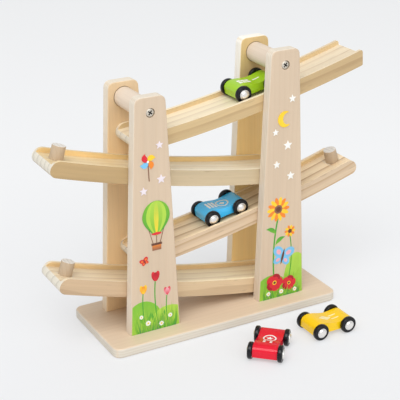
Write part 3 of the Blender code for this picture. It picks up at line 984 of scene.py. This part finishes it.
# %% [markdown]
# ## Spacer dowels and pegs
# Turned rods with a fine chamfer. The spacers lie between the uprights' heads; the pegs stand in
# the ramps' floors, square to the slope, and stop a car from falling off the high end.

# %% Spacer dowels and pegs
rim = 0.0005


def rod_at(radius, start, stop, steps=64):
    """A rod between two points, its rims rounded."""
    bm = drill(radius, start, stop, steps)
    round_edges(bm, sharp, rim, 3)
    return bm


for side in ("left", "right"):
    node = f"{side}_spacer_dowel"
    low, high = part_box(node)
    spacer = rod_at((high.x - low.x) / 2, *ends(node))
    stamp_grain(spacer, (0, 1, 0), (0.1, 0.012 + middle(node).x, 0.02))
    show(f"{side}_spacer", spacer, dowel_wood, "track", [node])
print("two spacers")

# %% [markdown]
# ## Ramps
# A ramp is one strip with a channel along its top and rounded ends. It is modelled straight, as
# the board would be before bending: the block's ends are rounded, the channel and the holes are
# cut, the edges softened, and the grain stamped. Then thin slices are cut across it and every
# point is carried onto the curve, so the grain and the rails bend with it.

# %% Ramp sizes
bend_radius = 1.3308           # of the rails' top edge, seen from the side
strip_depth, strip_reach = 0.0156, 0.2485
channel_depth, rail_width, rail_arris = 0.0045, 0.0035, 0.0006
nose_top, nose_bottom = 0.0088, 0.0067
cut_top, cut_bottom, cut_lean = 0.0030, 0.0015, 0.0036
peg_radius, peg_height, peg_seat, peg_inset = 0.0065, 0.0136, 0.0062, 0.0133
peg_play, past = 0.0001, 0.02      # round a peg, and how far a cutter reaches past the wood
slice_count = 64
left_x, right_x = middle("left_front_upright").x, middle("right_front_upright").x
# side of the high end, rail height over the board at the left and the right upright, overhang
ramps = {
    "top": (+1, 0.1931, 0.2157, 0.0923),
    "second": (-1, 0.1608, 0.1349, 0.0899),
    "third": (+1, 0.0769, 0.1027, 0.0916),
    "bottom": (-1, 0.0458, 0.0180, 0.0875),
}
# the way across the rings and away from the pith, in degrees up from Y
ring_way = {"top": 24, "second": -12, "third": 30, "bottom": -8}
print("strips", strip_reach, "m long on a radius of", bend_radius, "m")


# %% Bend
class Bend:
    """The curve of a ramp's rail tops, and the way from the straight strip onto it."""

    def __init__(self, name):
        side, left_z, right_z, overhang = ramps[name]
        dx, dz = right_x - left_x, right_z - left_z
        chord = math.hypot(dx, dz)
        rise = math.sqrt(bend_radius ** 2 - chord ** 2 / 4)
        self.x = (left_x + right_x) / 2 - dz / chord * rise
        self.z = base_top + (left_z + right_z) / 2 + dx / chord * rise
        post = right_x if side > 0 else left_x
        high = self.angle_at(post + side * overhang)
        self.start = high - strip_reach / bend_radius if side > 0 else high
        self.side = side

    def angle_at(self, x, depth=0.0):
        return math.asin((x - self.x) / (bend_radius + depth))

    def along(self, x, depth=0.0):
        """How far a place in X lies along the strip."""
        return (self.angle_at(x, depth) - self.start) * bend_radius

    def place(self, point):
        """A point of the straight strip, carried onto the curve."""
        angle = self.start + point.x / bend_radius
        reach = bend_radius - point.z
        return Vector((self.x + reach * math.sin(angle), point.y, self.z - reach * math.cos(angle)))


print("the second ramp starts at", round(math.degrees(Bend("second").start), 2), "degrees")


# %% Ramps
def ramp(name, seed):
    node = f"{name}_ramp"
    bend = Bend(name)
    low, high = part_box(node)
    half, mid_y = (high.y - low.y) / 2, middle(node).y
    bm = block((0, mid_y - half, -strip_depth), (strip_reach, mid_y + half, 0))
    square = name == "top"
    if square:
        top_edge = [v for v in bm.verts if v.co.x > strip_reach / 2 and v.co.z > -strip_depth / 2]
        bmesh.ops.translate(bm, vec=(cut_lean, 0, 0), verts=top_edge)

    def end_edge(e, upper, right):
        x, z = e.verts[0].co.xz
        return (span(e, 1) > half and (x > strip_reach / 2) == right
                and (z > -strip_depth / 2) == upper)

    for right in (False, True):
        top, bottom = (cut_top, cut_bottom) if right and square else (nose_top, nose_bottom)
        round_edges(bm, lambda e: sharp(e) and end_edge(e, True, right), top, 12)
        round_edges(bm, lambda e: sharp(e) and end_edge(e, False, right), bottom, 8)
    inside = half - rail_width
    cutters = [block((-past, mid_y - inside, -channel_depth),
                     (strip_reach + past, mid_y + inside, past))]
    pin_depth = (channel_depth + strip_depth) / 2
    for x in (left_x, right_x):
        spot = bend.along(x, pin_depth)
        cutters.append(drill(pin_hole, Vector((spot, low.y - past / 2, -pin_depth)),
                             Vector((spot, high.y + past / 2, -pin_depth)), 20))
    if not square:
        at = strip_reach - peg_inset if bend.side > 0 else peg_inset
        cutters.append(drill(peg_radius + peg_play, Vector((at, mid_y, -channel_depth - peg_seat)),
                             Vector((at, mid_y, past)), 64))
    bm = bored(bm, cutters)
    round_edges(bm, lambda e: sharp(e) and all(abs(v.co.y - mid_y) > inside - 1e-4 for v in e.verts),
                rail_arris, 2)
    for i in range(1, slice_count):
        cut_across(bm, (strip_reach * i / slice_count, 0, 0), (1, 0, 0), snap=1e-6)
    stamp_grain(bm, (1, 0, 0), (seed * blank_step, 0.12 + seed * 0.0023, seed * 0.02),
                across=turned(ring_way[name], "X") @ Vector((0, 1, 0)), pale_and_lit=((0, 0, 1),))
    # the channel's floor takes the pale colours: partly the pine's own colour and partly painted light
    # where it faces the bright light from above
    pale_and_lit = bm.verts.layers.float["pale_and_lit"]
    for v in bm.verts:
        if v.co.z > -channel_depth - 1e-4 and abs(v.co.y - mid_y) < inside + 1e-4:
            v[pale_and_lit] = 1.0
        v.co = bend.place(v.co)
    strip = show(f"{name}_strip", bm, pine[name], "track", [node])
    # the channel's walls take that warmer copy of the pine, painted bounce light and shade
    strip.data.materials.append(wall_bounce_pine[name])
    for face in strip.data.polygons:
        in_wall = abs(abs(face.center.y - mid_y) - inside) < 0.0003 and abs(face.normal.y) > 0.7
        face.material_index = int(in_wall)
    if not square:
        foot = Vector((at, mid_y, -channel_depth - peg_seat + peg_play))
        tip = Vector((at, mid_y, peg_height - channel_depth))
        peg = rod_at(peg_radius, bend.place(foot), bend.place(tip))
        stamp_grain(peg, (0, 0, 1), (0.2, seed * 0.003, 0.004))
        show(f"{name}_stop_peg", peg, peg_wood, "track", [f"{name}_peg"])


for seed, name in enumerate(ramps, start=1):
    ramp(name, seed)
print("four ramps and three pegs")

# %% [markdown]
# ## Screws
# A countersunk wood screw with a cross recess, turned from a profile of a few vertices and then
# slotted with two crossed blades. The same screw serves the heads of the uprights and the feet.

# %% Screws
screw_head, screw_rim, screw_shank = 0.0039, 0.0018, 0.0016
slot_width, slot_depth, slot_reach = 0.0014, 0.0013, 0.0028
slot_shadow = gloss("slot_shadow", (0.03, 0.028, 0.025), 0.55)


def turned_profile(points, steps=40):
    """A solid turned about Z from (radius, height) points that run down its outer side."""
    bm = bmesh.new()
    line = [bm.verts.new((r, 0, z)) for r, z in points]
    edges = [bm.edges.new(pair) for pair in zip(line, line[1:])]
    bmesh.ops.spin(bm, geom=line + edges, cent=(0, 0, 0), axis=(0, 0, 1), angle=2 * math.pi,
                   steps=steps, use_merge=True)
    bmesh.ops.remove_doubles(bm, verts=bm.verts, dist=1e-6)
    bmesh.ops.recalc_face_normals(bm, faces=bm.faces)
    return bm


def screw(node, out):
    """A screw whose head looks out of its CAD node's box."""
    low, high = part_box(node)
    out = Vector(out)
    length = abs(out.dot(high - low))
    bm = turned_profile([(0, 0), (screw_head * 0.8, 0), (screw_head, -screw_rim / 4),
                         (screw_head, -screw_rim / 2), (screw_shank, -screw_rim),
                         (screw_shank, -length + 2 * screw_shank), (0, -length)])
    blades = []
    for degrees in (53, 143):
        blade = block((-slot_reach, -slot_width / 2, -slot_depth),
                      (slot_reach, slot_width / 2, clear))
        bmesh.ops.scale(blade, vec=(0.8, 0.85, 1), verts=[v for v in blade.verts if v.co.z < 0])
        move(blade, turned(degrees, "Z"))
        blades.append(blade)
    bm = bored(bm, blades)
    for f in bm.faces:
        spot = f.calc_center_median()
        in_slot = -1.1 * slot_depth < spot.z < -0.0001
        f.material_index = int(in_slot and spot.xy.length < slot_reach * 1.05)
    turn = out.to_track_quat("Z", "Y").to_matrix().to_4x4()
    move(bm, Matrix.Translation(middle(node) + out * length / 2) @ turn)
    piece = show(f"{node}_slotted", bm, zinc, "track", [node])
    piece.data.materials.append(slot_shadow)


for side in ("left", "right"):
    for row, out in (("front", (0, -1, 0)), ("rear", (0, 1, 0))):
        screw(f"{side}_{row}_screw", out)
        screw(f"{side}_{row}_foot_screw", (0, 0, -1))
print("eight screws")

# %% [markdown]
# ## Cars
# A little car is one block of wood with a tall tail, a low waist and a nose, on two axles. The
# block is cut into slices along its length and the upper points are lifted to the outline, which
# is a smooth formula. A car's own frame comes from its CAD axles and wheels, so the same code
# serves the cars on the slopes and on the floor.

# %% Car sizes
wheel_radius, wheel_width = 0.0082, 0.0042
car_width, car_bottom = 0.0234, 0.0042
tail_x, nose_x = -0.0215, 0.0250
tail_top, waist_top, nose_hump = 0.0154, 0.0121, 0.0134
tail_peak, waist_low, nose_peak = -0.0140, 0.0055, 0.0185
tail_shoulder, nose_shoulder = 0.0098, 0.0088
car_arris, axle_hole = 0.0008, 0.0017
print("cars", round(nose_x - tail_x, 4), "m long")


# %% Car frame and outline
def car_frame(colour):
    """Own X from the tail axle to the nose axle, own Y to the left, at the axles' middle."""
    tail, nose = middle(f"{colour}_car_tail_axle"), middle(f"{colour}_car_nose_axle")
    left, right = middle(f"{colour}_car_tail_left_wheel"), middle(f"{colour}_car_tail_right_wheel")
    x, y = (nose - tail).normalized(), (left - right).normalized()
    z = x.cross(y)
    return Matrix.Translation((tail + nose) / 2) @ Matrix((x, y, z)).transposed().to_4x4()


def swell(x, x0, z0, x1, z1):
    return z0 + (z1 - z0) * (1 - math.cos(math.pi * (x - x0) / (x1 - x0))) / 2


def roof(x):
    """Height of a car's upper outline over the floor that it stands on."""
    if x < tail_peak:
        share = min(1.0, (tail_peak - x) / (tail_peak - tail_x))
        return tail_shoulder + (tail_top - tail_shoulder) * math.sqrt(1 - share * share)
    if x < waist_low:
        return swell(x, tail_peak, tail_top, waist_low, waist_top)
    if x < nose_peak:
        return swell(x, waist_low, waist_top, nose_peak, nose_hump)
    share = min(1.0, (x - nose_peak) / (nose_x - nose_peak))
    return nose_shoulder + (nose_hump - nose_shoulder) * math.sqrt(1 - share * share)


def slices():
    """Places to slice a car: even between the humps, closing up towards the round ends."""
    ends = [math.pi / 2 * i / 10 for i in range(1, 10)]
    tail = [tail_peak - (tail_peak - tail_x) * math.cos(a) for a in ends]
    nose = [nose_peak + (nose_x - nose_peak) * math.sin(a) for a in ends]
    between = [tail_peak + (nose_peak - tail_peak) * i / 40 for i in range(41)]
    return tail + between + nose


def slice_car(bm):
    for x in slices():
        cut_across(bm, (x, 0, 0), (1, 0, 0), snap=1e-7)


print(len(slices()), "slices")


# %% Car bodies
def car_body(colour, at):
    half = car_width / 2
    bm = block((tail_x, -half, car_bottom - wheel_radius), (nose_x, half, 0.002))
    slice_car(bm)
    for v in bm.verts:
        if v.co.z > 0:
            v.co.z = roof(v.co.x) - wheel_radius
    cutters = []
    for end in ("tail", "nose"):
        axle = at.inverted() @ middle(f"{colour}_car_{end}_axle")
        hole = cylinder(axle_hole, -half - 0.005, half + 0.005, 20)
        move(hole, Matrix.Translation(axle) @ turned(90, "X"))
        cutters.append(hole)
    bm = bored(bm, cutters)
    round_edges(bm, lambda e: sharp(e, math.radians(40))
                and not all(abs(v.co.z) < 1.1 * axle_hole for v in e.verts), car_arris, 3)
    move(bm, at)
    show(f"{colour}_car_shell", bm, paints[colour], f"{colour}_car",
         [f"{colour}_car_body"])


for colour in paints:
    car_body(colour, car_frame(colour))
print("four car bodies")

# %% [markdown]
# ## Prints on the cars
# Each car wears a small pale print on its curved roof. It is drawn flat like the others, cut at
# the same places as the body's slices, and lifted to the roof, so it follows every facet.

# %% Car prints
def ring(ink, u, size, width, colour):
    def circle(share):
        angle = 2 * math.pi * share
        return u + size / 2 * math.cos(angle), size / 2 * math.sin(angle)
    ink.stroke(circle, even(width), colour, steps=40)


def red_print(ink):
    ring(ink, 3, 11.5, 1.3, milk)
    ink.dab(3, 0, 7.5, 7.5, milk, turn=-90, outline=star_shaped, sides=10)
    for side in (-1, 1):
        ink.stroke(line((-4.5, side * 3.2), (-9.5, side * 3.2)), even(2.2), milk)


def green_print(ink):
    for i in range(3):
        for side in (-1, 1):
            ink.dab(-10 + 4.2 * i, side * 2.4, 5.2, 5.2, milk, turn=45, sides=4)
    ink.stroke(line((3.5, 0), (11, 0)), even(1.8), milk)


def blue_print(ink):
    ring(ink, 3.5, 12, 1.4, milk)
    ink.dab(3.5, 0, 5.6, 5.6, milk, sides=4)
    for i in range(3):
        ink.stroke(line((-12 + 3.4 * i, -5.8), (-12 + 3.4 * i, 5.8)), even(2.2), milk)


def yellow_print(ink):
    ink.dab(-2, 0, 14, 8.5, straw, sides=4)
    for side in (-1, 1):
        ink.stroke(line((4, side * 3.0), (12, side * 3.0)), even(1.5), straw)


def car_print(colour, draw):
    ink = Ink()
    draw(ink)
    bm = ink.finish()
    slice_car(bm)
    for v in bm.verts:
        v.co.z += roof(v.co.x) - wheel_radius
    move(bm, car_frame(colour))
    show(f"{colour}_car_print", bm, ink_look, f"{colour}_car")


for colour, draw in (("red", red_print), ("green", green_print), ("blue", blue_print),
                     ("yellow", yellow_print)):
    car_print(colour, draw)
print("four car prints")

# %% [markdown]
# ## Wheels, axles and caps
# A wheel is a black moulded ring: its profile of a few points is spun once round the axle and its
# shoulders are rounded. A steel pin runs through the body, and a domed cap with a thin rim covers
# the wheel's middle on each side.

# %% Wheels
shoulder, hub_hole = 0.00054, 0.0016
groove, tread_fall = 0.0003, 0.0004        # how deep the ring on a wheel's side is, and its crown


def wheel(node, body, at, inside):
    """A wheel along own Y of the car's frame."""
    w, r = wheel_width / 2, wheel_radius
    outline = [(hub_hole, w), (r * 0.66, w), (r * 0.70, w - groove), (r * 0.80, w - groove),
               (r * 0.84, w), (r - tread_fall, w), (r, w * 0.4), (r, -w * 0.4),
               (r - tread_fall, -w), (hub_hole, -w)]
    bm = turned_profile(outline + [outline[0]], 64)
    round_edges(bm, lambda e: sharp(e, math.radians(30))
                and min(v.co.xy.length for v in e.verts) > r * 0.9, shoulder, 3)
    flip = turned(90 if inside else -90, "X")
    move(bm, at @ Matrix.Translation(at.inverted() @ middle(node)) @ flip)
    show(node.replace("wheel", "tyre"), bm, tyre_plastic, body, [node])


print("wheels", 2 * wheel_radius, "m across")

# %% Axles and caps
cap_radius, cap_height, axle_radius = 0.0048, 0.0019, 0.0015
cap_edge, cap_rim, cap_seam = 0.0003, 0.0006, 0.0004       # its thickness and width, and the dome's foot
wheel_gap, cap_gap = 0.0004, 0.0001


def axle(node, body, at):
    """A pin through the body, with a domed cap on each end."""
    outer = car_width / 2 + wheel_gap + wheel_width + cap_gap
    dome_radius, dome_height = cap_radius - cap_rim, cap_height - cap_seam
    steps = [math.pi / 2 * i / 7 for i in range(8)]
    dome = [(dome_radius * math.sin(a), outer + cap_seam + dome_height * math.cos(a)) for a in steps]
    top = dome + [(cap_radius, outer + cap_edge), (cap_radius, outer), (axle_radius, outer)]
    bm = turned_profile(top + [(r, -z) for r, z in reversed(top)], 40)
    move(bm, at @ Matrix.Translation(at.inverted() @ middle(node)) @ turned(-90, "X"))
    show(f"{node}_and_caps", bm, bright_cap, body, [node])


for colour in paints:
    at = car_frame(colour)
    for end in ("tail", "nose"):
        body = f"{colour}_{end}_wheelset"
        axle(f"{colour}_car_{end}_axle", body, at)
        for side in ("left", "right"):
            wheel(f"{colour}_car_{end}_{side}_wheel", body, at, side == "right")
print("sixteen wheels on eight axles")

# %% [markdown]
# ## Pins
# The cross pins that carry the ramps are hidden in blind holes, so their CAD shape serves. Their
# meshes stay as they are and only take a finish, read from object coordinates.

# %% Pins
pin_look = gloss("pin_wood", (0.72, 0.58, 0.42), 0.55, ripple=300.0)
for node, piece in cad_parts.items():
    if node.endswith("_pin"):
        piece.data.materials.clear()
        piece.data.materials.append(pin_look)
print("eight pins")

# %% Size and finish
low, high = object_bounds()
print("dressed size", [round(x, 4) for x in high - low])
